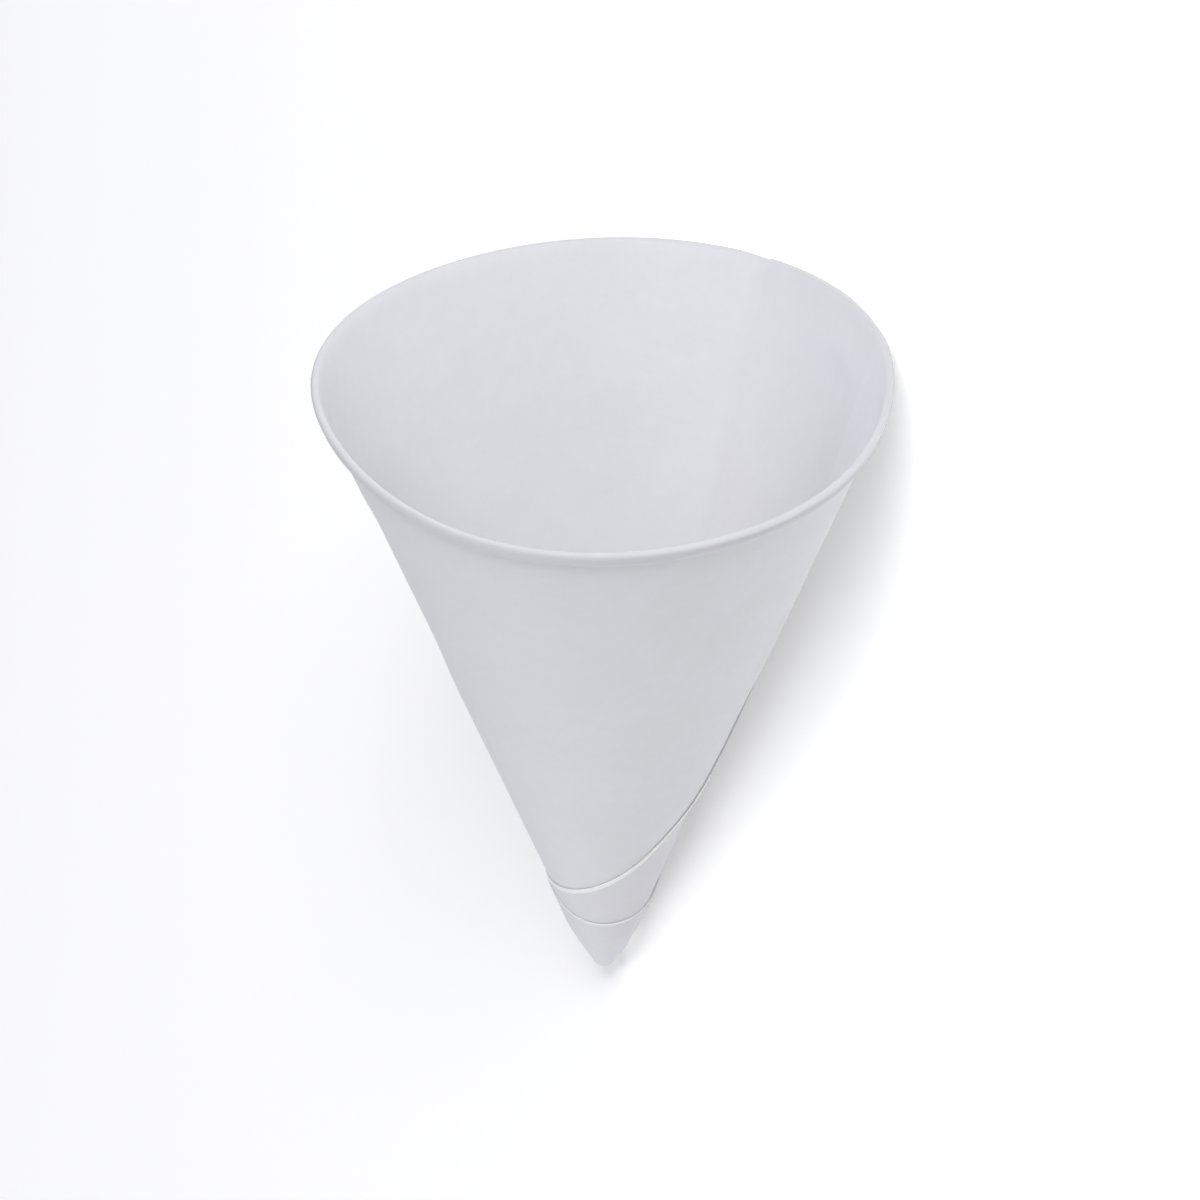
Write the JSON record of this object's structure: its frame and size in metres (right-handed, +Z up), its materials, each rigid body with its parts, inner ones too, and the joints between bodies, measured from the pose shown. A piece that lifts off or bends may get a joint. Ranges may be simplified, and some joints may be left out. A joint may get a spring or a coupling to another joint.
{
  "type": "cone paper cup",
  "caption": "White paper cone cup wound from a single sheet, with a glued overlap, a layered blunt tip and an outward-rolled rim, lying on its side.",
  "frame": {"origin": "middle of the bounding box in plan, on the table that the cup lies on", "axes": "the cup lies on its glued overlap with its mouth toward +X and its axis in the XZ plane, about 21 degrees up from the table; +Z is up"},
  "size_m": [0.0962, 0.073, 0.0679],
  "materials": {
    "white_paper": "matte, uncoated white paper that lets a little light through"
  },
  "bodies": {
    "root": {"paper_cup": "white_paper"}
  },
  "joints": []
}
